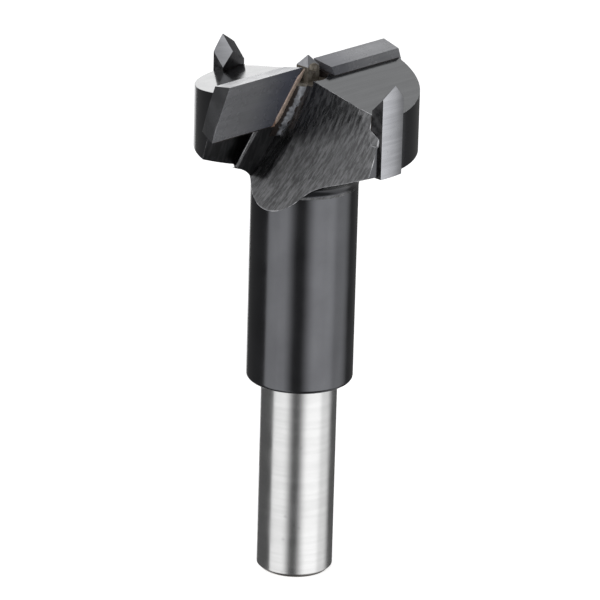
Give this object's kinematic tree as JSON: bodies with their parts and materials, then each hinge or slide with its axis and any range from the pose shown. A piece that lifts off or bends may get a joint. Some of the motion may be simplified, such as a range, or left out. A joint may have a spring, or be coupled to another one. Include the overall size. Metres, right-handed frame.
{
  "type": "forstner bit",
  "caption": "Carbide-tipped forstner bit with a round shank, thick neck, straddling rim spurs, leaning main cutters and a short centre point.",
  "frame": {"origin": "centre of the shank's flat end face", "axes": "+Z along the tool's axis from the shank's end to the cutting end; the main cutting edges run along X, and the edge on +X faces +Y"},
  "size_m": [0.03, 0.03, 0.0707],
  "materials": {
    "blackened_steel": "blackened gloss steel with ground relief faces, milled gullets and a bright ground shank",
    "point_steel": "ground bright",
    "carbide": "finely ground grey carbide",
    "braze": "dull pinkish filler with brown edges"
  },
  "bodies": {
    "root": {"body": "blackened_steel", "centre_point": "point_steel", "main_cutter_1": "carbide", "main_cutter_2": "carbide", "cutter_braze_1": "braze", "cutter_braze_2": "braze", "spur_1": "carbide", "spur_2": "carbide", "spur_braze_1": "braze", "spur_braze_2": "braze"}
  },
  "joints": []
}
